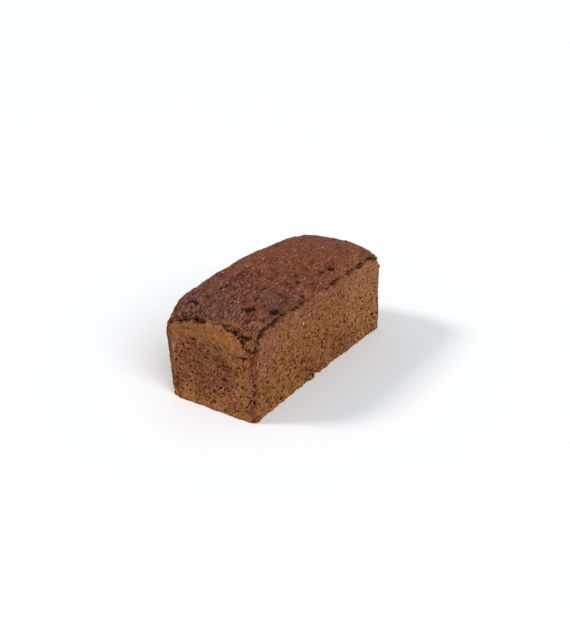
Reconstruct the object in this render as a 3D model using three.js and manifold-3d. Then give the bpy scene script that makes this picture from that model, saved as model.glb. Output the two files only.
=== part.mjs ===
// A tin loaf: one long, domed, dark wholemeal bread, baked in a straight-sided tin and turned out whole.
// Millimetres. X runs along the loaf, Y across it and Z up. The origin is the middle of the underside.
import * as THREE from "three";
import { mergeVertices } from "three/addons/utils/BufferGeometryUtils.js";
import Module from "manifold-3d";

const wasm = await Module();
wasm.setup();

// The tin's inside.
const LENGTH = 262;
const WIDTH = 110;
const CORNER_RADIUS = 6; // the upright corners, seen from above
const BASE_RADIUS = 4; // the edge round the underside
const WALL_DRAFT = 2.5; // how much narrower each wall is at the base than at the top

// The crust rose out of the tin and tore from the walls all the way round.
const BREAK_HEIGHT = 100; // the tear's height in the middle of each wall
const CORNER_DROP = 15; // how much lower the tear lies at the corners
const NEAR_CORNER_SAG = 7; // and lower again at the -X, -Y corner, by this much
const CORNER_POWERS = { along: 12, across: 2.2 }; // how sharply it drops there, along and across the loaf
const BREAK_GAP = 4; // the tear's width, up the wall
const BREAK_DEPTH = 2.6; // how far the tear reaches in
const END_SETBACK = 4; // how far the crust stands back from each end wall
const SETBACK_POWER = 20; // how quickly that setback fades away from the end
const CROWN_RISE = 22.5; // from the tear to the top of the dome
const CROWN_LEAN = 0.22; // the dome is higher towards -X and lower towards +X, by this share

// Powers that shape the dome: a steep shoulder, then a long, nearly level top.
const ALONG = { bend: 2.2, shoulder: 0.65 };
const ACROSS = { bend: 3.6, shoulder: 0.95 };

// The mesh: how many steps along, across and up a wall, and how closely they crowd towards the corners.
const STEPS = { along: 40, across: 18, up: 16 };
const CROWDING = 0.3;
const BASE_SHARE = 4 / STEPS.up; // the share of the wall's steps that the base edge takes
const BREAK_SHARE = 12 / STEPS.up; // the share at which the tear begins

const FLOOR_CUT = 1; // the underside is made this much too deep, and trimmed flat at Z = 0
const SLAB_HEIGHT = 10; // the thickness of the slab that trims it
const MERGE_DISTANCE = 1e-4; // points closer than this are one point

// Slow swells that the dough leaves on the wall and the crust: height, wavelength on each axis, phase.
const WALL_SWELLS = [
  { height: 0.7, wave: [118, 96, 83], phase: 0.6 },
  { height: 0.35, wave: [47, 39, 44], phase: 2.1 },
];
const CRUST_SWELLS = [
  { height: 1.1, wave: [92, 74, 300], phase: 1.4 },
  { height: 0.5, wave: [38, 31, 300], phase: 0.2 },
];

const { clamp, lerp } = THREE.MathUtils;

function swell(swells, x, y, z) {
  return swells.reduce((sum, { height, wave, phase }) => {
    const turns = x / wave[0] + y / wave[1] + z / wave[2];
    return sum + height * Math.sin(2 * Math.PI * turns + phase) * Math.cos(turns * Math.PI + phase);
  }, 0);
}

// Moves a step from -1 to 1 towards the nearer corner, so that the rounded corners get more faces.
const crowd = (t) => t * (1 + CROWDING * (1 - t * t));

// How far out of the middle a point of the unit square lies: 0 in the middle, 1 on its edge.
const reach = (u, v) => Math.max(Math.abs(u), Math.abs(v));

// The point of the tin's rounded outline that lies towards (u, v), this far in from the wall.
function outline(u, v, inset) {
  const m = reach(u, v);
  const halfX = LENGTH / 2 - inset;
  const halfY = WIDTH / 2 - inset;
  const radius = Math.max(CORNER_RADIUS - inset, 1);
  const x = (u / m) * halfX;
  const y = (v / m) * halfY;
  const centreX = clamp(x, radius - halfX, halfX - radius);
  const centreY = clamp(y, radius - halfY, halfY - radius);
  const out = Math.hypot(x - centreX, y - centreY);
  return {
    x: centreX + ((x - centreX) / out) * radius,
    y: centreY + ((y - centreY) / out) * radius,
  };
}

// The tear is an arch along each wall: highest in the middle, lowest in the corners.
function breakHeight(x, y) {
  const nearEnd = Math.abs(x / (LENGTH / 2)) ** CORNER_POWERS.along;
  const nearSide = Math.abs(y / (WIDTH / 2)) ** CORNER_POWERS.across;
  const sag = x < 0 && y < 0 ? NEAR_CORNER_SAG : 0;
  return BREAK_HEIGHT - (CORNER_DROP + sag) * nearEnd * nearSide;
}

// One upright slice of the wall, from the base's edge at t = 0 to the crust's lip at t = 1.
function wallSlice(t, top) {
  if (t < BASE_SHARE) {
    const turn = ((t / BASE_SHARE) * Math.PI) / 2;
    return {
      inset: WALL_DRAFT + BASE_RADIUS * (1 - Math.sin(turn)),
      z: (BASE_RADIUS + FLOOR_CUT) * (1 - Math.cos(turn)) - FLOOR_CUT,
    };
  }
  if (t < BREAK_SHARE) {
    const up = (t - BASE_SHARE) / (BREAK_SHARE - BASE_SHARE);
    return { inset: WALL_DRAFT * (1 - up), z: lerp(BASE_RADIUS, top - BREAK_GAP, up) };
  }
  const across = (t - BREAK_SHARE) / (1 - BREAK_SHARE);
  return { inset: BREAK_DEPTH * Math.sin(Math.PI * across), z: top + BREAK_GAP * (across - 1) };
}

function wallPoint(u, v, t) {
  const onWall = outline(u, v, 0);
  const { inset, z } = wallSlice(t, breakHeight(onWall.x, onWall.y));
  const { x, y } = outline(u, v, inset);
  const rise = clamp(z / BASE_RADIUS, 0, 1) * (t < 1 ? 1 : 0);
  const bulge = swell(WALL_SWELLS, x, y, z) * rise;
  const overEnd = t === 1 ? END_SETBACK * Math.abs(u) ** SETBACK_POWER : 0;
  return new THREE.Vector3(
    x * (1 + (bulge - overEnd) / (LENGTH / 2)),
    y * (1 + bulge / (WIDTH / 2)),
    z,
  );
}

// How far the crust stands above the tear, from 0 at its edge to 1 at the crown.
function dome(u, v) {
  const lengthways = (1 - Math.abs(u) ** ALONG.bend) ** ALONG.shoulder;
  const crossways = (1 - Math.abs(v) ** ACROSS.bend) ** ACROSS.shoulder;
  return lengthways * crossways * (1 - CROWN_LEAN * u);
}

function crustPoint(u, v) {
  const m = reach(u, v);
  if (m === 1) return wallPoint(u, v, 1);
  const edge = m > 0 ? outline(u, v, 0) : { x: 0, y: 0 };
  const x = edge.x * m * (1 - END_SETBACK / (LENGTH / 2));
  const y = edge.y * m;
  const rise = dome(u, v);
  return new THREE.Vector3(
    x,
    y,
    breakHeight(edge.x * m, y) + CROWN_RISE * rise + swell(CRUST_SWELLS, x, y, 0) * Math.min(rise, 1),
  );
}

function basePoint(u, v) {
  const m = reach(u, v);
  const edge = m > 0 ? outline(u, v, WALL_DRAFT + BASE_RADIUS) : { x: 0, y: 0 };
  return new THREE.Vector3(edge.x * m, edge.y * m, -FLOOR_CUT);
}

// A box whose faces are bent to the loaf: its top becomes the crust, its sides the walls.
function bentBox() {
  const box = new THREE.BoxGeometry(2, 2, 2, STEPS.along, STEPS.across, STEPS.up);
  const place = box.getAttribute("position");
  for (let i = 0; i < place.count; i++) {
    const u = crowd(place.getX(i));
    const v = crowd(place.getY(i));
    const t = (place.getZ(i) + 1) / 2;
    let point;
    if (t === 1) point = crustPoint(u, v);
    else if (t === 0) point = basePoint(u, v);
    else point = wallPoint(u, v, t);
    place.setXYZ(i, point.x, point.y, point.z);
  }
  return box;
}

// A closed geometry as a solid, and a solid back as a geometry.
function toSolid(geometry) {
  const bare = geometry.clone().deleteAttribute("normal").deleteAttribute("uv");
  const merged = mergeVertices(bare, MERGE_DISTANCE);
  return new wasm.Manifold(
    new wasm.Mesh({
      numProp: 3,
      vertProperties: new Float32Array(merged.getAttribute("position").array),
      triVerts: new Uint32Array(merged.index.array),
    }),
  );
}

function toGeometry(solid) {
  const mesh = solid.getMesh();
  const geometry = new THREE.BufferGeometry();
  geometry.setAttribute("position", new THREE.BufferAttribute(mesh.vertProperties, 3));
  geometry.setIndex(new THREE.BufferAttribute(mesh.triVerts, 1));
  geometry.computeVertexNormals();
  return geometry;
}

// The loaf stood on the tin's flat floor, so everything below Z = 0 is trimmed away.
function flatBased(geometry) {
  const slab = new THREE.BoxGeometry(2 * LENGTH, 2 * WIDTH, SLAB_HEIGHT);
  slab.translate(0, 0, -SLAB_HEIGHT / 2);
  const trimmed = toGeometry(toSolid(geometry).subtract(toSolid(slab)));
  trimmed.computeBoundingBox();
  const middle = trimmed.boundingBox.getCenter(new THREE.Vector3());
  return trimmed.translate(-middle.x, -middle.y, 0);
}

function bakedCrust() {
  return new THREE.MeshStandardMaterial({ color: 0x7d5134, roughness: 0.8, metalness: 0 });
}

const loaf = new THREE.Mesh(flatBased(bentBox()), bakedCrust());
loaf.name = "loaf";

const part = new THREE.Group();
part.add(loaf);

export default part;
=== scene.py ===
"""A dark wholemeal tin loaf, alone on a pale studio floor.

The loaf is sculpted from a copy of its CAD solid: the copy is remeshed, smoothed and subdivided, then one
geometry node tree tears the crust from the walls and gives it lumps, folds, holes, wrinkles and pores.
Its material follows the same patterns. Some it reads from the mesh, and some it works out again.

Places on the loaf are shares of its box: u along it and v across it, from -1 to 1, and t up it, from 0
to 1. Lengths are in metres, and MM turns millimetres into them.
"""

import math

import bpy
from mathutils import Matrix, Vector


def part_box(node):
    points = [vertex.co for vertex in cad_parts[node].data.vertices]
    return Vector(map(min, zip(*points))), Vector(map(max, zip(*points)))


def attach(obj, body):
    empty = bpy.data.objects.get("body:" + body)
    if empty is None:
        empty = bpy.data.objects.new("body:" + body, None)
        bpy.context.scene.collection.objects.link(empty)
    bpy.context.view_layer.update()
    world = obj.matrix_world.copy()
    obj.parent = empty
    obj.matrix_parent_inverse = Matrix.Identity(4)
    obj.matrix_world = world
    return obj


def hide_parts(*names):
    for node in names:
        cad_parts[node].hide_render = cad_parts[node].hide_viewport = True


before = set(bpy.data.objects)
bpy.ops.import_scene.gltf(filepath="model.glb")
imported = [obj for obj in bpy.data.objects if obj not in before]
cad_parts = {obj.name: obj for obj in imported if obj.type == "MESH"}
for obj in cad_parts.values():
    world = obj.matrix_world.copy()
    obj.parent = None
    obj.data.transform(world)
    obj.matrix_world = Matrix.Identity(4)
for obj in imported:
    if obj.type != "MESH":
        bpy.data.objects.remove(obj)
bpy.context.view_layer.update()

MM = 0.001
LOW, HIGH = (Vector(corner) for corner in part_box("loaf"))
HALF_LENGTH = (HIGH.x - LOW.x) / 2
HALF_WIDTH = (HIGH.y - LOW.y) / 2
HEIGHT = HIGH.z

# The line where the crust tore away from the walls: an arch along each wall, lowest at the corners.
TEAR_SHARE = 0.796
TEAR_DROP_SHARE = 0.122
NEAR_CORNER_SAG_SHARE = 0.057
TEAR_END_POWER = 12
TEAR_SIDE_POWER = 2.2

# Where the tear steps up on the near end: a place, how far that reaches and how high it is, in millimetres.
# It has its full height within this share of that reach.
TEAR_STEP = ((-1, -0.46, 0.76), 30.0, 3.2)
TEAR_STEP_TOP = 0.25

# Where the tear runs wildest, and where a pale painted highlight lies on the crust: both close to the near
# corner.
WILD_CORNER = (-1, -1, 0.74)
HIGHLIGHT_CORNER = (-0.93, -0.88, 0.78)

# The mesh, and the guide lines on it: how far apart their points lie, and how much they narrow at the ends.
MERGE_DISTANCE = 0.05 * MM
VOXEL = 2.1 * MM
SMOOTHING_ROUNDS = 6
FINE_LEVELS = 2
MOST_TRIANGLES = 190000
GUIDE_STEP = 1.0 * MM
END_NARROWING = 0.5

# How wide the tear gapes along each wall, in millimetres either side of its line, at even steps.
GAPES = {
    "near end": [1.4, 2.1, 2.4, 2.6, 2.5, 1.9, 1.0, 0.7, 1.0, 1.3, 1.3, 1.1, 1.0],
    "front": [
        1.0, 1.7, 2.2, 2.1, 1.3, 2.3, 2.0, 0.9, 0.6, 0.7, 0.9,
        2.2, 2.6, 1.0, 2.5, 1.3, 2.9, 2.1, 3.2, 3.4, 3.0,
    ],
    "far end": [2.4, 2.0, 1.2, 1.6, 0.8, 1.4, 2.2, 1.7, 0.9, 1.5, 2.4],
    "back": [
        2.4, 1.9, 1.2, 1.6, 0.7, 1.2, 0.6, 1.5, 1.9, 1.0, 0.6,
        1.3, 0.8, 1.6, 2.2, 1.3, 0.8, 1.7, 1.1, 2.0, 2.4,
    ],
}

# The bands of torn crumb that show between the walls and the crust: half their height, in millimetres.
BANDS = {
    "near end": [3.8, 4.5, 4.7, 4.5, 4.0, 2.8, 1.5, 1.2, 1.9, 3.0, 4.2, 5.4, 6.2],
    "front": [
        5.6, 3.8, 2.8, 2.2, 1.3, 1.8, 1.5, 0.6, 0.5, 0.5, 0.5,
        1.2, 1.5, 0.8, 1.4, 1.0, 1.7, 1.7, 2.6, 3.8, 4.2,
    ],
    "far end": [3.4, 2.8, 1.4, 2.0, 1.0, 1.6, 2.8, 2.2, 1.0, 2.0, 3.2],
    "back": [
        3.0, 2.2, 1.2, 1.8, 0.6, 1.3, 0.5, 1.7, 2.4, 1.0, 0.6,
        1.4, 0.8, 1.9, 2.8, 1.4, 0.8, 2.0, 1.1, 2.4, 3.2,
    ],
}

# Where each wall's steps start and end, as (u, v), on the way round the loaf.
WALLS = [
    ("near end", (-1, 0.96), (-1, -0.96)),
    ("front", (-0.985, -1), (0.985, -1)),
    ("far end", (1, -0.96), (1, 0.96)),
    ("back", (0.985, 1), (-0.985, 1)),
]

# Holes and short cracks in the crust, each a line of (u, v, t) and how wide it gapes in millimetres.
CRACKS = [
    ([(-0.915, 0.38, 0.865), (-0.89, 0.42, 0.875), (-0.872, 0.50, 0.88), (-0.878, 0.58, 0.87),
      (-0.90, 0.63, 0.85)], 2.3),
    ([(-0.815, -0.56, 0.90), (-0.785, -0.62, 0.90)], 3.6),
    ([(-0.685, -0.89, 0.86), (-0.645, -0.93, 0.85)], 4.2),
    ([(-0.63, -0.97, 0.82), (-0.60, -0.99, 0.80)], 1.8),
    ([(-0.33, -0.92, 0.86), (-0.30, -0.95, 0.84), (-0.29, -0.98, 0.82)], 2.4),
    ([(-0.27, -0.73, 0.93), (-0.24, -0.75, 0.93)], 2.2),
    ([(0.18, -0.82, 0.90), (0.22, -0.84, 0.89)], 3.4),
    ([(-0.72, -0.56, 0.92), (-0.68, -0.53, 0.93), (-0.64, -0.52, 0.93)], 1.5),
    ([(0.05, -0.80, 0.91), (0.09, -0.84, 0.90)], 1.6),
    ([(-0.04, -0.62, 0.95), (-0.02, -0.64, 0.95)], 1.9),
    ([(0.42, 0.46, 0.96), (0.47, 0.43, 0.96)], 1.6),
    ([(-0.30, 0.75, 0.93), (-0.24, 0.70, 0.94), (-0.22, 0.66, 0.95)], 1.8),
    ([(0.66, 0.72, 0.90), (0.69, 0.68, 0.90)], 2.6),
    ([(0.88, 0.20, 0.86), (0.90, 0.12, 0.85), (0.89, 0.05, 0.86)], 1.6),
    ([(0.10, 0.90, 0.86), (0.16, 0.92, 0.85)], 2.3),
    ([(-0.985, -0.50, 0.775), (-0.98, -0.54, 0.77)], 2.2),
    ([(-0.985, -0.66, 0.755), (-0.98, -0.72, 0.747), (-0.975, -0.79, 0.752)], 1.4),
    ([(-0.94, -0.95, 0.735), (-0.91, -0.98, 0.75), (-0.87, -0.99, 0.765)], 2.4),
]

# Folds that the rising dough pressed into the walls and the near corner, written as the cracks are.
FOLDS = [
    ([(-1, -0.70, 0.735), (-1, -0.735, 0.70), (-1, -0.77, 0.665), (-1, -0.85, 0.645),
      (-0.98, -0.95, 0.635)], 1.3),
    ([(-0.99, -0.90, 0.64), (-0.97, -0.97, 0.63), (-0.95, -1, 0.635), (-0.92, -1, 0.65)], 1.6),
    ([(-0.97, -1, 0.60), (-0.955, -1, 0.64), (-0.95, -1, 0.68)], 0.9),
    ([(-1, -0.42, 0.575), (-1, -0.54, 0.565), (-1, -0.66, 0.557)], 0.8),
    ([(-1, -0.64, 0.572), (-1, -0.74, 0.566), (-1, -0.82, 0.578)], 3.2),
    ([(1, 0.55, 0.70), (1, 0.72, 0.67), (1, 0.88, 0.645)], 1.3),
    ([(0.62, 1, 0.69), (0.75, 1, 0.665), (0.86, 1, 0.66)], 1.0),
]

# Single large pores in the walls: (u, v, t) and a radius in millimetres. Each is a slot along its wall.
BIG_PORES = [
    ((-1, 0.34, 0.61), 1.7),
    ((-1, 0.48, 0.557), 1.3),
    ((-1, 0.42, 0.694), 1.0),
    ((-1, -0.30, 0.442), 1.4),
    ((-1, -0.37, 0.438), 1.1),
    ((-1, -0.74, 0.486), 1.3),
    ((-1, -0.56, 0.393), 1.3),
    ((-1, -0.31, 0.31), 2.1),
    ((-1, -0.07, 0.177), 1.3),
    ((-1, -0.39, 0.218), 1.0),
    ((-1, -0.79, 0.095), 1.6),
    ((-1, 0.75, 0.237), 1.4),
    ((-1, 0.08, 0.47), 1.4),
    ((-1, 0.67, 0.096), 1.5),
    ((-1, 0.48, 0.244), 1.2),
    ((-1, 0.48, 0.107), 1.1),
    ((-1, 0.18, 0.227), 1.1),
    ((-1, -0.16, 0.578), 1.1),
    ((-1, 0.19, 0.512), 1.0),
    ((-1, 0.01, 0.54), 1.0),
    ((-1, -0.70, 0.296), 1.4),
    ((-1, -0.22, 0.143), 1.1),
    ((-1, -0.98, 0.26), 1.6),
    ((-0.30, -1, 0.564), 1.4),
    ((-0.09, -1, 0.447), 1.3),
    ((0.22, -1, 0.336), 1.3),
    ((-0.53, -1, 0.606), 1.2),
    ((-0.21, -1, 0.723), 1.2),
    ((0.34, -1, 0.40), 1.3),
    ((0.58, -1, 0.516), 1.3),
    ((0.68, -1, 0.353), 1.2),
    ((0.44, -1, 0.211), 1.3),
    ((-0.58, -1, 0.387), 1.2),
    ((-0.04, -1, 0.05), 1.8),
    ((1, 0.30, 0.52), 1.4),
    ((1, -0.25, 0.33), 1.8),
    ((1, 0.55, 0.18), 1.3),
    ((0.40, 1, 0.58), 1.3),
    ((-0.15, 1, 0.31), 1.6),
    ((-0.62, 1, 0.47), 1.3),
]
BIG_PORE_LENGTH = 2.2 * MM

# Swellings of the dough: a place, a radius and how far they stand out, in millimetres. A hollow stands in,
# so its number is below 0.
KNOBS = [
    ((-0.95, -0.97, 0.69), 4.5, 2.0),
    ((-0.97, -0.80, 0.775), 4.5, 2.0),
    ((-0.93, -0.95, 0.785), 4.0, 2.0),
    ((-0.965, -0.62, 0.80), 3.5, 1.5),
    ((-1, -0.60, 0.61), 11.0, 1.8),
    ((-1, -0.78, 0.60), 7.0, 1.6),
    ((-1, -0.86, 0.50), 9.0, 1.4),
    ((-0.91, 0.52, 0.86), 5.5, 1.3),
    ((0.93, -0.97, 0.735), 4.5, 1.8),
    ((0.97, 0.90, 0.70), 5.0, 2.2),
    ((-0.96, 0.92, 0.735), 4.0, 1.4),
    ((-1, 1, 0.80), 24.0, -5.0),
    ((-0.08, -1, 0.0), 8.0, -4.5),
    ((-1, -1, 0.24), 5.0, -1.6),
    ((1, -1, 0.47), 6.0, -2.6),
    ((1, -1, 0.12), 42.0, 1.8),
    ((1, -1, 0.66), 20.0, -1.2),
    ((-0.16, -1, 0.02), 9.0, 1.2),
    ((-1, 1, 0.0), 15.0, -2.4),
    ((-1, -1, 0.0), 18.0, 1.8),
]

# The swollen lump that hangs out of the tear at the near corner: a place, a radius and how far it stands
# out, in millimetres. The crevice round its upper far side gapes this much either side of its line.
LUMP = ((-0.99, -0.85, 0.69), 6.6, 2.2)
LUMP_CREVICE = 1.1

# Inside this share of its radius a knob or the lump stands out in full, and a stain has its full strength.
KNOB_TOP = 0.25
LUMP_TOP = 0.2
STAIN_CORE = 0.35

# Stains on the walls: a place, a radius in millimetres, a colour and how strong it is. The one under the
# near end's fold is a painted shadow, not a stain.
STAINS = [
    ((-1, 0.0, 0.45), 90.0, "784a2a", 0.45),
    ((-1, 0.15, 0.38), 44.0, "653823", 0.7),
    ((-1, 0.45, 0.50), 26.0, "643824", 0.45),
    ((-1, -0.30, 0.38), 28.0, "643521", 0.5),
    ((-1, 0.79, 0.17), 13.0, "63301a", 0.8),
    ((-1, 0.95, 0.60), 8.0, "6b3a22", 0.6),
    ((-1, -0.59, 0.27), 10.0, "6f5848", 0.5),
    ((-1, -0.66, 0.605), 5.5, "5a4a39", 0.6),
    ((-1, -0.80, 0.60), 5.0, "5a4a39", 0.6),
    ((-0.99, -0.85, 0.69), 9.0, "5f3820", 0.75),
    ((-1, 0.84, 0.49), 7.0, "b88c5e", 0.5),
    # A painted shadow under the fold, not a stain.
    ((-1, -0.74, 0.56), 4.0, "43342a", 0.6),
    ((-1, -0.44, 0.70), 11.0, "a0652f", 0.55),
    ((-1, -0.80, 0.52), 8.0, "98602c", 0.45),
    ((-1, 0.50, 0.10), 14.0, "a87340", 0.4),
    ((0.72, -1, 0.46), 70.0, "a9744a", 0.5),
    ((-0.20, -1, 0.10), 34.0, "6e3f20", 0.45),
    ((0.30, -1, 0.10), 30.0, "6e3f20", 0.45),
    ((0.81, -1, 0.46), 13.0, "ab8563", 0.4),
    ((-0.80, -1, 0.60), 24.0, "8a5641", 0.6),
    ((-0.45, -1, 0.62), 26.0, "8a5842", 0.55),
    ((0.19, -0.95, 0.06), 3.5, "64301f", 0.85),
    ((0.195, -0.955, 0.12), 3.5, "6a3524", 0.8),
    ((0.20, -0.96, 0.18), 3.0, "703c2b", 0.75),
    ((-0.32, -0.985, 0.61), 2.3, "e6ddd0", 0.95),
    ((-0.88, -1, 0.40), 12.0, "8f7355", 0.4),
]

# Stains up to this wide keep a neat edge. Wider ones are made ragged.
WIDEST_NEAT_STAIN = 4.5

# The other pores in the walls, wide, middling and fine: a cell's width in millimetres, the smallest and the
# largest radius as shares of it, the share of cells that hold a pore, its depth in millimetres and how dark
# the painted shade in it is. A hole has its full depth inside this share of its radius.
PORES = [
    (10.0, 0.10, 0.20, 0.40, 2.4, 1.0),
    (4.0, 0.19, 0.48, 0.96, 1.7, 0.95),
    (2.4, 0.20, 0.48, 0.95, 0.9, 0.75),
]
PORE_FLOOR = 0.55

# The share of its gape at which a gash has its full depth, and at which the painted shade in it is full.
TEAR_FLOOR = 0.3
TEAR_SHADE_FLOOR = 0.5
CRACK_FLOOR = 0.45
CRACK_SHADE_FLOOR = 0.7
FOLD_FLOOR = 0.2

# The wall's lip under the tear, in times the tear's gape: where it starts, where it is full and how high.
LIP_START = 2.6
LIP_FULL = 1.2
LIP_HEIGHT = 0.35

# How deep the marks are cut. A tear, a crack, a fold or a band is so many times as deep as it gapes.
TEAR_DEPTH = 1.7
LEAST_TEAR_DEPTH = 0.3 * MM
CRACK_DEPTH = 1.7
FOLD_DEPTH = 1.6
BAND_DEPTH = 0.7
GREATEST_BAND_DEPTH = 2.6 * MM
WRINKLE_DEPTH = 1.5 * MM
SPLIT_DEPTH = 1.3 * MM
LUMP_CREVICE_DEPTH = 1.8 * MM

# How patterns are drawn out: an amount below 1 on an axis makes them longer that way.
PORE_STRETCH = (0.74, 1.0, 1.0)
SPLIT_STRETCH = (0.4, 1.0, 1.0)
RIDGE_STRETCH = (0.32, 1.0, 1.0)
WRINKLE_STRETCH = (0.3, 1.0, 1.0)
GRAIN_STRETCH = (0.55, 1.0, 1.0)
STREAK_STRETCH = (0.5, 1.0, 1.0)
FIBRE_STRETCH = (1.0, 1.0, 0.65)
CRUMB_STRETCH = (1.0, 1.0, 0.75)
LUMP_STRETCH = (1.0, 1.0, 0.72)

# How the crust's colour is worked up over its ruddy and dusky patches, layer on layer: the pattern that a
# layer follows, the values at which it starts and is full, how strong it is, where it lies, and its colour.
# The two ridge layers are painted shade in the valleys and a painted sheen on the tops.
CRUST_LAYERS = [
    ("clouds", 0.48, 0.30, 0.65, "everywhere", "43201a"),
    ("clouds", 0.54, 0.72, 0.50, "everywhere", "8f5a38"),
    # Painted shade in the ridges' valleys.
    ("ridges", 0.47, 0.30, 0.45, "everywhere", "351208"),
    # Painted sheen on the ridges' tops.
    ("ridges", 0.55, 0.72, 0.30, "everywhere", "99674f"),
    ("streaks", 0.50, 0.70, 0.80, "busy patches", "9a603f"),
    ("streaks", 0.49, 0.32, 0.95, "busy patches", "310f05"),
    ("fine grain", 0.45, 0.30, 0.80, "busy patches", "240b04"),
    ("fine grain", 0.56, 0.72, 0.60, "busy patches", "b07d62"),
]

# The same for the walls, over their stains.
WALL_LAYERS = [
    ("mottle", 0.48, 0.72, 0.55, "calmer at the ends", "a8774a"),
    ("mottle", 0.50, 0.30, 0.55, "calmer at the ends", "6b3819"),
    ("coarse grain", 0.54, 0.72, 0.40, "calmer at the ends", "b5845a"),
    ("coarse grain", 0.46, 0.30, 0.45, "calmer at the ends", "572a0c"),
    ("fine grain", 0.48, 0.30, 0.80, "busy patches", "431c02"),
    ("fine grain", 0.56, 0.72, 0.65, "busy patches", "c4966c"),
]

# Flecks of bran and flour in the crust: a cell's width in millimetres, the share of cells that hold one,
# how far they are drawn out, their colour and how strong it is.
FLECKS = [
    (2.0, 0.72, (0.20, 1.0, 1.0), "bf885d", 0.8),
    (2.2, 0.32, (0.40, 1.0, 1.0), "dfba90", 0.9),
]

# Where the camera stands: degrees round the loaf and up, how far off, and its aim, sideways and up.
VIEW_AZIMUTH = -57.22
VIEW_ELEVATION = 25.37
VIEW_DISTANCE = 982.77 * MM
VIEW_CENTRE = (4.13 * MM, 53.7 * MM)
VIEW_LENS = 51.39
VIEW_SENSOR = 36.0
VIEW_CLIP_START = 50 * MM

# The bread's gloss, how rough its walls are, and how deep its finest grain is. The crust is smoother.
BREAD_GLOSS = 0.1
WALL_ROUGHNESS = 0.82
GRAIN_DEPTH = 0.9 * MM

# The studio.
FLOOR_SIZE = 12.0
FLOOR_COLOUR = (0.888, 0.902, 0.912, 1.0)
FLOOR_ROUGHNESS = 0.9
FLOOR_GLOSS = 0.1
SKY_COLOUR = (0.94, 0.985, 1.03, 1.0)
SKY_STRENGTH = 0.45


# ---------------------------------------------------------------- places on the loaf


def spot(u, v, t):
    return Vector((u * HALF_LENGTH, v * HALF_WIDTH, t * HEIGHT))


def tear_share(u, v):
    """How high the tear lies at a place on the walls, as a share of the loaf's height."""
    drop = TEAR_DROP_SHARE + (NEAR_CORNER_SAG_SHARE if u < 0 and v < 0 else 0)
    share = TEAR_SHARE - drop * abs(u) ** TEAR_END_POWER * abs(v) ** TEAR_SIDE_POWER
    middle, reach, rise = TEAR_STEP
    distance = (spot(u, v, share) - spot(*middle)).length
    eased = min(max((reach * MM - distance) / ((1 - TEAR_STEP_TOP) * reach * MM), 0), 1)
    return share + rise * MM / HEIGHT * eased * eased * (3 - 2 * eased)


def walk_round_walls(widths):
    """Points all the way round the walls, each as (u, v, width), starting at the near end's far corner."""
    for wall, start, end in WALLS:
        for step, width in enumerate(widths[wall]):
            share = step / (len(widths[wall]) - 1)
            u = start[0] + (end[0] - start[0]) * share
            v = start[1] + (end[1] - start[1]) * share
            yield u, v, width


# ---------------------------------------------------------------- wiring nodes


class Bench:
    """Adds nodes to one node tree and joins them. It works on geometry trees and on shader trees."""

    def __init__(self, tree):
        self.tree = tree

    def put(self, socket, value):
        if isinstance(value, bpy.types.NodeSocket):
            self.tree.links.new(value, socket)
        else:
            socket.default_value = value

    def add(self, kind, inputs=None, **settings):
        node = self.tree.nodes.new(kind)
        for name, value in settings.items():
            setattr(node, name, value)
        for name, value in (inputs or {}).items():
            self.put(node.inputs[name], value)
        return node

    def fill(self, node, values):
        """Puts the values into the node's first sockets, in order."""
        for socket, value in zip(node.inputs, values):
            self.put(socket, value)

    def math(self, operation, *values):
        node = self.add("ShaderNodeMath", operation=operation)
        self.fill(node, values)
        return node.outputs[0]

    def product(self, first, *others):
        result = first
        for value in others:
            result = self.math("MULTIPLY", result, value)
        return result

    def greatest(self, first, *others):
        result = first
        for value in others:
            result = self.math("MAXIMUM", result, value)
        return result

    def rest(self, value):
        """What is left of 1 when the value is taken from it."""
        return self.math("SUBTRACT", 1.0, value)

    def vector(self, operation, *values):
        node = self.add("ShaderNodeVectorMath", operation=operation)
        self.fill(node, values)
        return node.outputs["Value" if operation in ("LENGTH", "DISTANCE", "DOT_PRODUCT") else "Vector"]

    def stretch(self, place, amounts):
        return self.vector("MULTIPLY", place, amounts)

    def distance(self, place, where):
        """How far the place lies from a spot (u, v, t) on the loaf."""
        return self.vector("DISTANCE", place, tuple(spot(*where)))

    def times(self, vector, number):
        node = self.add("ShaderNodeVectorMath", {0: vector, "Scale": number}, operation="SCALE")
        return node.outputs["Vector"]

    def step(self, value, start, end, low=0.0, high=1.0):
        """Eases from low to high while the value goes from start to end."""
        node = self.add("ShaderNodeMapRange", interpolation_type="SMOOTHSTEP")
        self.fill(node, (value, start, end, low, high))
        return node.outputs["Result"]

    def noise(self, place, size, detail=2.0, roughness=0.5):
        return self.noise_node(place, size, detail, roughness).outputs[0]

    def noise_push(self, place, size, detail):
        """Noise as a vector, each part of which lies about 0."""
        colour = self.noise_node(place, size, detail, 0.5).outputs["Color"]
        return self.vector("SUBTRACT", colour, (0.5, 0.5, 0.5))

    def noise_node(self, place, size, detail, roughness):
        inputs = {"Vector": place, "Scale": 1 / size, "Detail": detail, "Roughness": roughness}
        return self.add("ShaderNodeTexNoise", inputs)

    def cells(self, place, per_metre):
        """The distance to the nearest cell's middle, and three numbers of chance for that cell."""
        node = self.add("ShaderNodeTexVoronoi", {"Vector": place, "Scale": per_metre}, feature="F1")
        return node.outputs["Distance"], self.parts(node.outputs["Color"])

    def parts(self, vector):
        node = self.add("ShaderNodeSeparateXYZ", {0: vector})
        return node.outputs[0], node.outputs[1], node.outputs[2]

    def join(self, x, y, z):
        return self.add("ShaderNodeCombineXYZ", {0: x, 1: y, 2: z}).outputs[0]


# ---------------------------------------------------------------- patterns that mesh and material share


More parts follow.
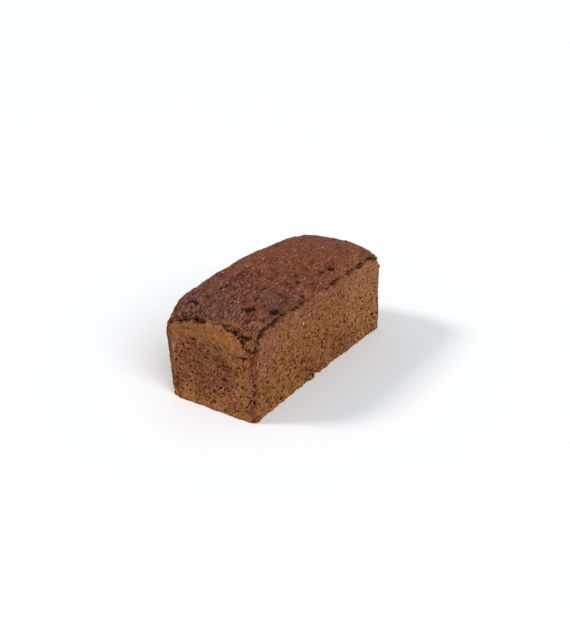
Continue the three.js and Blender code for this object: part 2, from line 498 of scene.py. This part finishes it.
def above_tear(b, place):
    """How far a place lies above the tear's line, in metres."""
    x, y, z = b.parts(place)
    near_end = b.math("POWER", b.math("ABSOLUTE", b.math("DIVIDE", x, HALF_LENGTH)), TEAR_END_POWER)
    near_side = b.math("POWER", b.math("ABSOLUTE", b.math("DIVIDE", y, HALF_WIDTH)), TEAR_SIDE_POWER)
    sagging = b.product(b.math("LESS_THAN", x, 0.0), b.math("LESS_THAN", y, 0.0))
    deepest = b.math("MULTIPLY_ADD", sagging, NEAR_CORNER_SAG_SHARE * HEIGHT, TEAR_DROP_SHARE * HEIGHT)
    line = b.math("SUBTRACT", TEAR_SHARE * HEIGHT, b.product(near_end, near_side, deepest))
    middle, reach, rise = TEAR_STEP
    step_up = b.step(b.distance(place, middle), reach * MM, TEAR_STEP_TOP * reach * MM, 0.0, rise * MM)
    return b.math("SUBTRACT", z, b.math("ADD", line, step_up))


def wandering(b, place, size, amount):
    """The place, pushed about by noise, so that what is drawn there comes out uneven."""
    return b.vector("ADD", place, b.times(b.noise_push(place, size, detail=1.0), 2 * amount))


def pore_layer(b, place, size, smallest, largest, how_many, swell=1.0):
    """Holes scattered through the dough: 1 in a hole's middle, 0 between holes.

    Radii are shares of one cell, times the swell. how_many is the share of cells that hold a hole.
    """
    distance, (luck, width, _) = b.cells(place, 1 / size)
    radius = b.product(b.step(width, 0.0, 1.0, smallest, largest), swell)
    hole = b.step(distance, radius, b.product(radius, PORE_FLOOR))
    return b.product(hole, b.math("LESS_THAN", luck, how_many))


def pores(b, place, above):
    """The holes in the walls, one mask for each row of PORES. They are fewer close under the tear.

    On the long walls they are drawn out along the loaf. On the end walls they are smaller.
    """
    x, _, _ = b.parts(place)
    far_end = b.step(x, 0.90 * HALF_LENGTH, 0.99 * HALF_LENGTH)
    patch = b.math("SUBTRACT", b.noise(place, 26 * MM, detail=1.0), 0.5)
    below = b.math("ADD", b.product(above, -1.0), b.product(patch, 50 * MM))
    lower_down = b.step(x, -0.2 * HALF_LENGTH, 0.6 * HALF_LENGTH, 0.0, 12 * MM)
    below = b.math("ADD", below, b.math("MULTIPLY_ADD", far_end, -12 * MM, lower_down))
    crowd = b.step(below, 2 * MM, 34 * MM, 0.22, 1.0)
    swell = b.step(x, -HALF_LENGTH, 0.4 * HALF_LENGTH, 0.88, 1.06)
    swell = b.math("MULTIPLY_ADD", far_end, -0.2, swell)
    loose = wandering(b, wandering(b, place, 5 * MM, 1.6 * MM), 1.6 * MM, 0.45 * MM)
    drawn_out = b.stretch(loose, PORE_STRETCH)
    return [
        pore_layer(b, drawn_out, size * MM, smallest, largest, b.product(crowd, share), swell)
        for size, smallest, largest, share, _, _ in PORES
    ]


def splits(b, place):
    """Short splits in the crust, drawn out along the loaf: 1 in a split's middle. The skin gets painted
    shade in them.
    """
    loose = wandering(b, wandering(b, place, 8 * MM, 2.5 * MM), 2 * MM, 0.8 * MM)
    return pore_layer(b, b.stretch(loose, SPLIT_STRETCH), 9.0 * MM, 0.05, 0.16, 0.55)


def ridges(b, place):
    """The crust's long low ridges, which run along the loaf: about 0.3 in a valley and 0.7 on a ridge."""
    loose = wandering(b, wandering(b, place, 25 * MM, 6 * MM), 7 * MM, 1.5 * MM)
    return b.noise(b.stretch(loose, RIDGE_STRETCH), 5.0 * MM, roughness=0.55)


# ---------------------------------------------------------------- the blank loaf and its guide lines


def select_only(piece):
    bpy.ops.object.select_all(action="DESELECT")
    piece.select_set(True)
    bpy.context.view_layer.objects.active = piece


def apply(piece, modifier):
    select_only(piece)
    bpy.ops.object.modifier_apply(modifier=modifier.name)


def blank_loaf():
    """The loaf's plain shape: a copy of the CAD solid, merged, remeshed in even squares and smoothed."""
    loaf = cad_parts["loaf"].copy()
    loaf.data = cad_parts["loaf"].data.copy()
    loaf.name = "baked_loaf"
    loaf.data.name = "baked_loaf"
    bpy.context.collection.objects.link(loaf)
    select_only(loaf)
    bpy.ops.object.mode_set(mode="EDIT")
    bpy.ops.mesh.select_all(action="SELECT")
    bpy.ops.mesh.remove_doubles(threshold=MERGE_DISTANCE)
    bpy.ops.object.mode_set(mode="OBJECT")

    remesh = loaf.modifiers.new("even squares", "REMESH")
    remesh.mode = "VOXEL"
    remesh.voxel_size = VOXEL
    apply(loaf, remesh)
    smooth = loaf.modifiers.new("smooth", "SMOOTH")
    smooth.iterations = SMOOTHING_ROUNDS
    apply(loaf, smooth)
    return loaf


def guide(name, lines, surface):
    """Lines drawn on the loaf's surface. Each point's radius is how wide the line gapes there."""
    curve = bpy.data.curves.new(name, "CURVE")
    curve.dimensions = "3D"
    for points in lines:
        spline = curve.splines.new("POLY")
        spline.points.add(len(points) - 1)
        for point, (place, gape) in zip(spline.points, points):
            _, on_surface, _, _ = surface.closest_point_on_mesh(place)
            point.co = (*on_surface, 1)
            point.radius = gape
    drawn = bpy.data.objects.new(name, curve)
    bpy.context.collection.objects.link(drawn)
    return drawn


def round_the_loaf(widths, rise):
    """One closed line round the walls, this many of its own widths above the tear."""
    line = []
    for u, v, width in walk_round_walls(widths):
        on_tear = spot(u, v, tear_share(u, v))
        line.append((on_tear + Vector((0, 0, rise * width * MM)), width * MM))
    line.append(line[0])
    return [line]


def short_lines(cracks):
    """Lines that narrow towards their ends, when they have more than two points."""
    lines = []
    for points, gape in cracks:
        last = len(points) - 1
        line = []
        for step, point in enumerate(points):
            width = gape * (END_NARROWING if last > 1 and step in (0, last) else 1)
            line.append((spot(*point), width * MM))
        lines.append(line)
    return lines


def pore_lines():
    """The big pores, each as a line so short that it makes a hole, lying along its wall."""
    lines = []
    for place, radius in BIG_PORES:
        on_end = abs(place[0]) == 1
        along = Vector((0, 1, 0)) if on_end else Vector((1, 0, 0))
        half = along * BIG_PORE_LENGTH / 2
        lines.append([(spot(*place) - half, radius * MM), (spot(*place) + half, radius * MM)])
    return lines


def line_group():
    """A node group that measures how far the surface lies from a guide's lines, and how wide they gape."""
    tree = bpy.data.node_groups.new("near a line", "GeometryNodeTree")
    tree.interface.new_socket("Guide", in_out="INPUT", socket_type="NodeSocketObject")
    tree.interface.new_socket("Place", in_out="INPUT", socket_type="NodeSocketVector")
    tree.interface.new_socket("Distance", in_out="OUTPUT", socket_type="NodeSocketFloat")
    tree.interface.new_socket("Gape", in_out="OUTPUT", socket_type="NodeSocketFloat")
    b = Bench(tree)
    given = b.add("NodeGroupInput")
    info = b.add("GeometryNodeObjectInfo", {"Object": given.outputs["Guide"]})
    even = b.add("GeometryNodeResampleCurve", {"Curve": info.outputs["Geometry"]}, mode="LENGTH")
    even.inputs["Length"].default_value = GUIDE_STEP
    gape = b.add("GeometryNodeInputRadius").outputs[0]
    marked = keep(b, even.outputs[0], "gape", gape)
    wire = b.add("GeometryNodeCurveToMesh", {"Curve": marked}).outputs[0]
    sampled = {"Geometry": wire, "Sample Position": given.outputs["Place"]}
    near = b.add("GeometryNodeProximity", sampled, target_element="EDGES")
    nearest = b.add("GeometryNodeSampleNearest", sampled, domain="POINT")
    stored = b.add("GeometryNodeInputNamedAttribute", {"Name": "gape"}, data_type="FLOAT").outputs[0]
    picked = b.add(
        "GeometryNodeSampleIndex",
        {"Geometry": wire, "Value": stored, "Index": nearest.outputs[0]},
        data_type="FLOAT",
        domain="POINT",
    )
    result = b.add("NodeGroupOutput")
    b.put(result.inputs["Distance"], near.outputs["Distance"])
    b.put(result.inputs["Gape"], picked.outputs[0])
    return tree


def near_line(b, group, drawn, place):
    node = b.add("GeometryNodeGroup", node_tree=group)
    node.inputs["Guide"].default_value = drawn
    b.put(node.inputs["Place"], place)
    return node.outputs["Distance"], node.outputs["Gape"]


def keep(b, geometry, name, value, data_type="FLOAT"):
    """Stores a value on every point, under a name."""
    node = b.add(
        "GeometryNodeStoreNamedAttribute",
        {"Geometry": geometry, "Name": name, "Value": value},
        data_type=data_type,
        domain="POINT",
    )
    return node.outputs[0]


# ---------------------------------------------------------------- sculpting


def gash(b, distance, gape, floor):
    """1 along the middle of a line and 0 past its edges, with a floor of this share of its gape."""
    return b.step(distance, gape, b.product(gape, floor))


def ragged_place(b, place):
    """The place, pushed about so that the tear comes out ragged, and wildest at the near corner."""
    wilder = b.step(b.distance(place, WILD_CORNER), 55 * MM, 15 * MM, 1.0, 1.6)
    push = b.times(b.noise_push(place, 8 * MM, detail=2.0), b.product(wilder, 9.0 * MM))
    return wandering(b, b.vector("ADD", place, push), 2.4 * MM, 1.0 * MM)


def lump_shape(b, place):
    """The lump at the near corner: where it is, how far it stands out, and the crevice round it."""
    where, radius, stand = LUMP
    offset = b.vector("SUBTRACT", wandering(b, place, 6 * MM, 3.2 * MM), tuple(spot(*where)))
    distance = b.vector("LENGTH", b.stretch(offset, LUMP_STRETCH))
    body = b.step(distance, radius * MM, 0.8 * radius * MM)
    lift = b.step(distance, radius * MM, LUMP_TOP * radius * MM, 0.0, stand * MM)
    past_rim = b.math("ABSOLUTE", b.math("SUBTRACT", distance, (radius + 0.6 * LUMP_CREVICE) * MM))
    crevice = b.step(past_rim, LUMP_CREVICE * MM, 0.2 * LUMP_CREVICE * MM)
    broken = b.step(b.noise(place, 6 * MM), 0.40, 0.56)
    upper_far_side = b.step(b.vector("DOT_PRODUCT", offset, (0.0, 0.8, 0.6)), -2 * MM, 4 * MM, 0.1, 1.0)
    return body, lift, b.product(crevice, broken, upper_far_side)


def wrinkles(b, place):
    """Thin creases along the crust, in patches, most of them towards the near end: 1 in a crease."""
    drawn_out = b.stretch(wandering(b, place, 9 * MM, 2.0 * MM), WRINKLE_STRETCH)
    level = b.math("ABSOLUTE", b.math("SUBTRACT", b.noise(drawn_out, 7 * MM), 0.5))
    crease = b.step(level, 0.045, 0.005)
    x, _, _ = b.parts(place)
    near_end = b.step(x, 0.2 * HALF_LENGTH, -0.8 * HALF_LENGTH, -0.1, 0.22)
    patches = b.step(b.math("ADD", b.noise(place, 17 * MM, detail=1.0), near_end), 0.5, 0.7)
    return b.product(crease, patches)


def roughness_lift(b, place, crust, crumb):
    """Lumps everywhere, ridges and grain in the crust, and crumbs in the torn bands, in metres."""
    creased = b.stretch(wandering(b, place, 6 * MM, 1.6 * MM), GRAIN_STRETCH)
    fibres = b.noise(b.stretch(place, FIBRE_STRETCH), 3.4 * MM, detail=3.0, roughness=0.7)
    everywhere = 1.0
    patterns = [
        (b.noise(place, 34 * MM, detail=1.0), everywhere, 2.6),
        (b.noise(place, 11 * MM), everywhere, 2.0),
        (b.noise(place, 2.6 * MM), everywhere, 0.7),
        (ridges(b, place), crust, 2.8),
        (b.noise(creased, 2.4 * MM, roughness=0.6), crust, 1.6),
        (fibres, crumb, 6.0),
    ]
    lift = 0.0
    for pattern, where, height in patterns:
        swing = b.product(b.math("SUBTRACT", pattern, 0.5), where)
        lift = b.math("MULTIPLY_ADD", swing, height * MM, lift)
    return lift


def knob_lift(b, place):
    """How far the swellings of the dough stand out, in metres."""
    lift = 0.0
    for where, radius, stand in KNOBS:
        one = b.step(b.distance(place, where), radius * MM, KNOB_TOP * radius * MM, 0.0, stand * MM)
        lift = b.math("ADD", one, lift)
    return lift


def foot_spread(b, place):
    """How far the dough spread out where it met the tin's floor, here more and there less, in metres."""
    _, _, height = b.parts(place)
    ragged = b.step(b.noise(place, 7 * MM, detail=4.0, roughness=0.6), 0.36, 0.60, 1.2 * MM, 2.4 * MM)
    return b.step(height, 7 * MM, 1 * MM, 0.0, ragged)


def pore_depth(b, place, above):
    """How deep the walls' pores are, in metres."""
    depth = 0.0
    for hole, (*_, deep, _) in zip(pores(b, place, above), PORES):
        depth = b.greatest(depth, b.product(hole, deep * MM))
    return depth


def geometry_tree(name):
    """A new geometry node tree, as (tree, bench, the geometry that comes in)."""
    tree = bpy.data.node_groups.new(name, "GeometryNodeTree")
    tree.interface.new_socket("Geometry", in_out="INPUT", socket_type="NodeSocketGeometry")
    tree.interface.new_socket("Geometry", in_out="OUTPUT", socket_type="NodeSocketGeometry")
    b = Bench(tree)
    return tree, b, b.add("NodeGroupInput").outputs[0]


def sculpting_tree(tears, bands, cracks, folds):
    """Moves every point of the blank loaf outwards or inwards, and stores what the material reads."""
    tree, b, geometry = geometry_tree("sculpting")
    group = line_group()
    place = b.add("GeometryNodeInputPosition").outputs[0]
    outward = b.add("GeometryNodeInputNormal").outputs[0]
    ragged = ragged_place(b, place)
    above = above_tear(b, ragged)
    crust = b.step(above, -0.5 * MM, 1.5 * MM)
    walls = b.rest(crust)
    lump, lump_lift, crevice = lump_shape(b, place)
    off_lump = b.rest(lump)

    # The tear, and the band of torn crumb above it.
    tear_distance, tear_gape = near_line(b, group, tears, ragged)
    tear_gape = b.product(tear_gape, b.step(b.noise(place, 7 * MM), 0.36, 0.62, 0.5, 1.6))
    tear = b.product(gash(b, tear_distance, tear_gape, TEAR_FLOOR), off_lump)
    tear_shade = b.product(gash(b, tear_distance, tear_gape, TEAR_SHADE_FLOOR), off_lump)
    band_distance, band_half = near_line(b, group, bands, ragged)
    band = b.step(band_distance, b.product(band_half, 1.2), b.product(band_half, 0.8))
    crumb = b.product(band, b.step(band_half, 0.6 * MM, 1.5 * MM), off_lump)
    lip_ring = b.step(tear_distance, b.product(tear_gape, LIP_START), b.product(tear_gape, LIP_FULL))
    lip = b.product(lip_ring, walls, b.product(tear_gape, LIP_HEIGHT))

    # The cracks and big pores, the folds and the wrinkles.
    crack_distance, crack_gape = near_line(b, group, cracks, wandering(b, place, 2.5 * MM, 0.9 * MM))
    crack = gash(b, crack_distance, crack_gape, CRACK_FLOOR)
    crack_shade = gash(b, crack_distance, crack_gape, CRACK_SHADE_FLOOR)
    fold_distance, fold_gape = near_line(b, group, folds, wandering(b, place, 7 * MM, 1.2 * MM))
    fold = gash(b, fold_distance, fold_gape, FOLD_FLOOR)
    crease = b.product(wrinkles(b, place), b.product(crust, b.rest(crumb)))

    # How deep all of that is cut.
    tear_depth = b.product(tear, b.math("MULTIPLY_ADD", tear_gape, TEAR_DEPTH, LEAST_TEAR_DEPTH))
    crack_depth = b.product(crack, b.product(crack_gape, CRACK_DEPTH))
    fold_depth = b.product(fold, b.product(fold_gape, FOLD_DEPTH))
    band_depth = b.math("MINIMUM", b.product(band_half, BAND_DEPTH), GREATEST_BAND_DEPTH)
    cut = b.math("ADD", b.greatest(tear_depth, crack_depth), fold_depth)
    cut = b.math("ADD", cut, b.product(crumb, band_depth))
    cut = b.math("MULTIPLY_ADD", crease, WRINKLE_DEPTH, cut)
    cut = b.math("MULTIPLY_ADD", b.product(splits(b, place), crust), SPLIT_DEPTH, cut)
    cut = b.math("MULTIPLY_ADD", crevice, LUMP_CREVICE_DEPTH, cut)

    out = b.math("ADD", lump_lift, roughness_lift(b, place, crust, crumb))
    out = b.math("ADD", out, knob_lift(b, place))
    out = b.math("ADD", out, foot_spread(b, place))
    out = b.math("ADD", out, lip)
    out = b.math("SUBTRACT", out, b.product(pore_depth(b, place, above), walls))
    out = b.math("SUBTRACT", out, cut)

    # Where the gashes are, for the material to paint shade into.
    torn = b.greatest(tear_shade, crack_shade, fold, crevice)
    geometry = keep(b, geometry, "place", place, "FLOAT_VECTOR")
    for name, value in (("torn", torn), ("crease", crease), ("above", above), ("crumb", crumb)):
        geometry = keep(b, geometry, name, value)
    moved = b.add("GeometryNodeSetPosition", {"Geometry": geometry, "Offset": b.times(outward, out)})
    b.put(b.add("NodeGroupOutput").inputs[0], moved.outputs[0])
    return tree


def standing_tree():
    """Presses whatever hangs below the floor flat, as the tin's floor did."""
    tree, b, geometry = geometry_tree("standing")
    x, y, z = b.parts(b.add("GeometryNodeInputPosition").outputs[0])
    pressed = b.join(x, y, b.greatest(z, 0.0))
    moved = b.add("GeometryNodeSetPosition", {"Geometry": geometry, "Position": pressed})
    b.put(b.add("NodeGroupOutput").inputs[0], moved.outputs[0])
    return tree


def shaped_by(loaf, name, tree):
    """Runs a geometry node tree over the loaf, for good."""
    nodes = loaf.modifiers.new(name, "NODES")
    nodes.node_group = tree
    apply(loaf, nodes)


def thin_out(loaf):
    """Takes triangles away where the surface is plain, and keeps them where it is rough."""
    triangles = sum(len(face.vertices) - 2 for face in loaf.data.polygons)
    if triangles <= MOST_TRIANGLES:
        return
    decimate = loaf.modifiers.new("thin out", "DECIMATE")
    decimate.ratio = MOST_TRIANGLES / triangles
    apply(loaf, decimate)


def baked_loaf():
    loaf = blank_loaf()
    guides = [
        guide("tears", round_the_loaf(GAPES, rise=0), loaf),
        guide("bands", round_the_loaf(BANDS, rise=1), loaf),
        guide("cracks", short_lines(CRACKS) + pore_lines(), loaf),
        guide("folds", short_lines(FOLDS), loaf),
    ]
    fine = loaf.modifiers.new("fine squares", "SUBSURF")
    fine.levels = fine.render_levels = FINE_LEVELS
    apply(loaf, fine)
    shaped_by(loaf, "sculpt", sculpting_tree(*guides))
    for drawn in guides:
        bpy.data.objects.remove(drawn)
    thin_out(loaf)
    shaped_by(loaf, "stand", standing_tree())
    select_only(loaf)
    bpy.ops.object.shade_smooth()
    return loaf


# ---------------------------------------------------------------- material


def tint(code):
    """A colour written as RRGGBB, as linear light."""
    channels = [int(code[i : i + 2], 16) / 255 for i in (0, 2, 4)]
    linear = [c / 12.92 if c <= 0.04045 else ((c + 0.055) / 1.055) ** 2.4 for c in channels]
    return (*linear, 1.0)


def blend(b, share, under, over):
    node = b.add("ShaderNodeMix", data_type="RGBA", blend_type="MIX")
    b.put(node.inputs[0], share)
    b.put(node.inputs[6], under)
    b.put(node.inputs[7], over)
    return node.outputs[2]


def between(b, share, low, high):
    """The number that lies this share of the way from low to high."""
    return b.add("ShaderNodeMix", {0: share, 2: low, 3: high}, data_type="FLOAT").outputs[0]


def shader_group(name, inputs, outputs):
    """A new shader node group with named sockets, as (tree, bench, given sockets, result sockets)."""
    kinds = {"float": "NodeSocketFloat", "vector": "NodeSocketVector"}
    tree = bpy.data.node_groups.new(name, "ShaderNodeTree")
    for label, kind in inputs:
        tree.interface.new_socket(label, in_out="INPUT", socket_type=kinds[kind])
    for label, kind in outputs:
        tree.interface.new_socket(label, in_out="OUTPUT", socket_type=kinds[kind])
    b = Bench(tree)
    given = b.add("NodeGroupInput").outputs
    result = b.add("NodeGroupOutput").inputs
    return tree, b, given, result


def pore_group():
    """The holes in the walls, as a mask for their painted shade and a height for bump."""
    inputs = [("Place", "vector"), ("Above", "float")]
    tree, b, given, result = shader_group("pores", inputs, [("Mask", "float"), ("Height", "float")])
    mask = 0.0
    for hole, (*_, painted_shade) in zip(pores(b, given["Place"], given["Above"]), PORES):
        mask = b.greatest(mask, b.product(hole, painted_shade))
    b.put(result["Mask"], mask)
    b.put(result["Height"], b.product(mask, -1.0))
    return tree


def speck_group():
    """Pale flecks of bran and flour in the skin, in patches, drawn out along the loaf by the stretch."""
    inputs = [("Place", "vector"), ("Share", "float"), ("Cells per metre", "float"), ("Stretch", "vector")]
    tree, b, given, result = shader_group("specks", inputs, [("Mask", "float")])
    loose = wandering(b, wandering(b, given["Place"], 4 * MM, 1.5 * MM), 1.2 * MM, 0.6 * MM)
    thin = b.stretch(loose, given["Stretch"])
    distance, (luck, width, strength) = b.cells(thin, given["Cells per metre"])
    radius = b.step(width, 0.0, 1.0, 0.14, 0.34)
    patch = b.step(b.noise(given["Place"], 15 * MM), 0.40, 0.62, 0.15, 1.6)
    present = b.math("LESS_THAN", luck, b.product(given["Share"], patch))
    fleck = b.step(distance, radius, b.product(radius, 0.4))
    b.put(result["Mask"], b.product(fleck, b.step(strength, 0.0, 1.0, 0.35, 1.0), present))
    return tree


def use(b, tree, **inputs):
    """Places a shader node group in a tree, with its own values."""
    return b.add("ShaderNodeGroup", inputs, node_tree=tree).outputs


def attribute(b, name, output="Fac"):
    return b.add("ShaderNodeAttribute", attribute_name=name).outputs[output]


def worked_up(b, colour, layers, patterns):
    """Lays one tint after another over the colour, each where its pattern is high enough or low enough."""
    for pattern, start, full, strength, where, code in layers:
        share = b.product(b.step(patterns[pattern], start, full, 0.0, strength), patterns[where])
        colour = blend(b, share, colour, tint(code))
    return colour


def crust_colour(b, place, above):
    """Ruddy, dusky in patches (partly colour, partly painted sheen), tan along the far rim, painted
    highlight near the corner.
    """
    x, _, _ = b.parts(place)
    patches = b.noise(place, 20 * MM, detail=3.0, roughness=0.6)
    streaks = b.noise(b.stretch(place, STREAK_STRETCH), 2.2 * MM, detail=3.0, roughness=0.7)
    clouds = b.noise(wandering(b, place, 9 * MM, 2.5 * MM), 7 * MM, detail=3.0, roughness=0.65)
    patterns = {
        "everywhere": 1.0,
        "busy patches": b.step(b.noise(place, 12 * MM), 0.36, 0.62, 0.45, 1.0),
        "clouds": clouds,
        "ridges": ridges(b, place),
        "streaks": streaks,
        "fine grain": b.noise(place, 1.5 * MM),
    }
    # The dusky purple-grey patches, most of them towards the near end, are partly the crust's own colour
    # and partly a painted sheen.
    towards_near_end = b.step(x, 0.1 * HALF_LENGTH, -0.95 * HALF_LENGTH, -0.10, 0.20)
    dusky_and_sheen = b.step(b.math("ADD", patches, towards_near_end), 0.44, 0.68)
    colour = blend(b, dusky_and_sheen, tint("763e28"), tint("663e34"))
    rim = b.product(b.step(above, 16 * MM, 3 * MM), b.step(x, 0.0, 0.5 * HALF_LENGTH))
    colour = blend(b, b.product(rim, b.step(patches, 0.40, 0.56, 0.0, 0.7)), colour, tint("8c5a32"))
    # A pale painted highlight on the crust's streaks near the corner.
    near_corner = b.step(b.distance(place, HIGHLIGHT_CORNER), 30 * MM, 8 * MM)
    corner_highlight = b.product(near_corner, b.step(streaks, 0.46, 0.60, 0.0, 0.75))
    colour = blend(b, corner_highlight, colour, tint("90613f"))
    return worked_up(b, colour, CRUST_LAYERS, patterns)


def skin_colour(b, place, above):
    """The crust's colour with its flecks, and painted shade in its wrinkles and splits."""
    colour = crust_colour(b, place, above)
    specks = speck_group()
    for cell, share, stretch, code, strength in FLECKS:
        settings = {"Place": place, "Share": share, "Cells per metre": 1 / (cell * MM), "Stretch": stretch}
        fleck = use(b, specks, **settings)["Mask"]
        colour = blend(b, b.product(fleck, strength), colour, tint(code))
    # Painted shade in the creases and the splits.
    gap_shade = b.greatest(attribute(b, "crease"), splits(b, place))
    return blend(b, b.product(gap_shade, 0.75), colour, tint("200b05"))


def stained(b, place, colour):
    """The walls' colour with its stains, the wider ones uneven at their edges."""
    loose = wandering(b, wandering(b, place, 16 * MM, 6 * MM), 4 * MM, 2 * MM)
    for where, radius, code, strength in STAINS:
        distance = b.distance(loose if radius > WIDEST_NEAT_STAIN else place, where)
        share = b.step(distance, radius * MM, STAIN_CORE * radius * MM, 0.0, strength)
        colour = blend(b, share, colour, tint(code))
    return colour


def wall_colour(b, place, above, pore_shade):
    """Tan, ruddy in patches and near the tear, stained, dark along the upright edges, with painted shade in
    the pores.
    """
    patches = b.noise(place, 30 * MM, detail=3.0, roughness=0.55)
    mottle = b.noise(place, 6 * MM, detail=3.0, roughness=0.6)
    x, y, _ = b.parts(place)
    from_end = b.math("SUBTRACT", HALF_LENGTH, b.math("ABSOLUTE", x))
    from_side = b.math("SUBTRACT", HALF_WIDTH, b.math("ABSOLUTE", y))
    calm_ends = b.step(from_end, 9 * MM, 4 * MM, 1.0, 0.78)
    patterns = {
        "calmer at the ends": calm_ends,
        "busy patches": b.product(b.step(b.noise(place, 11 * MM), 0.36, 0.62, 0.3, 1.0), calm_ends),
        "mottle": mottle,
        "coarse grain": b.noise(place, 3.2 * MM, detail=3.0, roughness=0.6),
        "fine grain": b.noise(place, 1.6 * MM),
    }
    near_tear = b.step(b.math("MULTIPLY_ADD", patches, 36 * MM, above), -28 * MM, 10 * MM, 0.0, 0.8)
    near_tear = b.product(near_tear, b.step(from_end, 4 * MM, 14 * MM, 0.35, 1.0))
    ruddy = b.greatest(near_tear, b.step(patches, 0.52, 0.70, 0.0, 0.6))
    colour = blend(b, ruddy, tint("8f5a2e"), tint("7f4b35"))
    colour = stained(b, place, colour)
    from_edge = b.math("MULTIPLY_ADD", mottle, 4 * MM, b.math("ADD", from_end, from_side))
    colour = blend(b, b.step(from_edge, 15 * MM, 8 * MM, 0.0, 0.95), colour, tint("5d2913"))
    colour = worked_up(b, colour, WALL_LAYERS, patterns)
    # Painted shade in the pores.
    return blend(b, b.product(pore_shade, 0.95), colour, tint("2c0f00"))


def with_torn_crumb_and_gash_shade(b, place, colour):
    """Lays over the colour the torn bands' browns, their pale painted-highlight fringes, and painted shade
    in every gash.
    """
    crumb = attribute(b, "crumb")
    crumbs = b.noise(b.stretch(place, CRUMB_STRETCH), 2.2 * MM, detail=3.0)
    torn_colour = blend(b, b.step(crumbs, 0.38, 0.62), tint("2a1303"), tint("70462a"))
    torn_colour = blend(b, b.step(crumbs, 0.60, 0.74), torn_colour, tint("b28a64"))
    colour = blend(b, b.product(crumb, 0.9), colour, torn_colour)
    # The pale fringe along the torn bands is a painted highlight.
    fringe_highlight = b.step(b.math("ABSOLUTE", b.math("SUBTRACT", crumb, 0.4)), 0.35, 0.05, 0.0, 0.55)
    colour = blend(b, b.product(fringe_highlight, b.step(crumbs, 0.45, 0.60)), colour, tint("b08058"))
    # Painted shade in the tears, cracks, folds and the lump's crevice.
    return blend(b, b.product(attribute(b, "torn"), 0.85), colour, tint("261003"))


def bread_material():
    material = bpy.data.materials.new("bread")
    material.use_nodes = True
    material.node_tree.nodes.clear()
    b = Bench(material.node_tree)
    place = attribute(b, "place", "Vector")
    above = attribute(b, "above")
    uneven = b.product(b.math("SUBTRACT", b.noise(place, 3 * MM), 0.5), 5 * MM)
    crust = b.step(b.math("ADD", above, uneven), -1.0 * MM, 1.5 * MM)
    pore = use(b, pore_group(), Place=place, Above=above)

    walls = wall_colour(b, place, above, pore["Mask"])
    colour = blend(b, crust, walls, skin_colour(b, place, above))
    colour = with_torn_crumb_and_gash_shade(b, place, colour)

    fibre = b.noise(b.stretch(place, STREAK_STRETCH), 2.0 * MM, detail=3.0, roughness=0.65)
    grain = b.noise(place, 1.5 * MM, detail=3.0, roughness=0.6)
    wall_height = b.math("MULTIPLY_ADD", pore["Height"], 1.2, b.product(grain, 0.8))
    height = between(b, crust, wall_height, b.product(fibre, 1.4))
    bump = b.add("ShaderNodeBump", {"Height": height, "Distance": GRAIN_DEPTH, "Strength": 1.0})
    crust_roughness = b.step(b.noise(place, 8 * MM, detail=3.0), 0.3, 0.7, 0.42, 0.66)
    roughness = between(b, crust, WALL_ROUGHNESS, crust_roughness)

    bread = b.add(
        "ShaderNodeBsdfPrincipled",
        {"Base Color": colour, "Roughness": roughness, "Normal": bump.outputs[0]},
    )
    bread.inputs["Specular IOR Level"].default_value = BREAD_GLOSS
    b.put(b.add("ShaderNodeOutputMaterial").inputs["Surface"], bread.outputs[0])
    return material


# ---------------------------------------------------------------- studio


def direction(azimuth, elevation):
    """From the loaf towards a viewer or a light: azimuth 0 is in front, at -Y."""
    a, e = math.radians(azimuth), math.radians(elevation)
    return Vector((math.sin(a) * math.cos(e), -math.cos(a) * math.cos(e), math.sin(e)))


def aimed(name, data, azimuth, elevation):
    """A camera or a lamp that looks at the loaf from this direction."""
    placed = bpy.data.objects.new(name, data)
    placed.rotation_mode = "QUATERNION"
    placed.rotation_quaternion = (-direction(azimuth, elevation)).to_track_quat("-Z", "Y")
    bpy.context.collection.objects.link(placed)
    return placed


def camera():
    aside, up = VIEW_CENTRE
    a = math.radians(VIEW_AZIMUTH)
    centre = Vector((math.cos(a) * aside, math.sin(a) * aside, up))
    lens = bpy.data.cameras.new("camera")
    lens.lens = VIEW_LENS
    lens.sensor_width = VIEW_SENSOR
    lens.clip_start = VIEW_CLIP_START
    made = aimed("camera", lens, VIEW_AZIMUTH, VIEW_ELEVATION)
    made.location = centre + direction(VIEW_AZIMUTH, VIEW_ELEVATION) * VIEW_DISTANCE
    bpy.context.scene.camera = made


def floor():
    bpy.ops.object.select_all(action="DESELECT")
    bpy.ops.mesh.primitive_plane_add(size=FLOOR_SIZE, location=(0, 0, 0))
    plane = bpy.context.active_object
    plane.name = "floor"
    paper = bpy.data.materials.new("white_paper")
    paper.use_nodes = True
    surface = paper.node_tree.nodes["Principled BSDF"]
    surface.inputs["Base Color"].default_value = FLOOR_COLOUR
    surface.inputs["Roughness"].default_value = FLOOR_ROUGHNESS
    surface.inputs["Specular IOR Level"].default_value = FLOOR_GLOSS
    plane.data.materials.append(paper)


def sun(name, azimuth, elevation, strength, softness, colour):
    lamp = bpy.data.lights.new(name, "SUN")
    lamp.energy = strength
    lamp.color = colour
    lamp.angle = math.radians(softness)
    aimed(name, lamp, azimuth, elevation)


def lights():
    world = bpy.data.worlds.new("studio")
    world.use_nodes = True
    sky = world.node_tree.nodes["Background"]
    sky.inputs["Color"].default_value = SKY_COLOUR
    sky.inputs["Strength"].default_value = SKY_STRENGTH
    bpy.context.scene.world = world
    sun("key", azimuth=-148, elevation=42, strength=1.4, softness=13, colour=(1.08, 1.0, 0.96))
    sun("fill", azimuth=-28, elevation=38, strength=1.98, softness=40, colour=(1.0, 1.0, 1.0))


# ---------------------------------------------------------------- the scene

camera()
floor()
lights()
bpy.context.scene.view_settings.view_transform = "Standard"

loaf = baked_loaf()
loaf.data.materials.clear()
loaf.data.materials.append(bread_material())
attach(loaf, "root")
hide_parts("loaf")
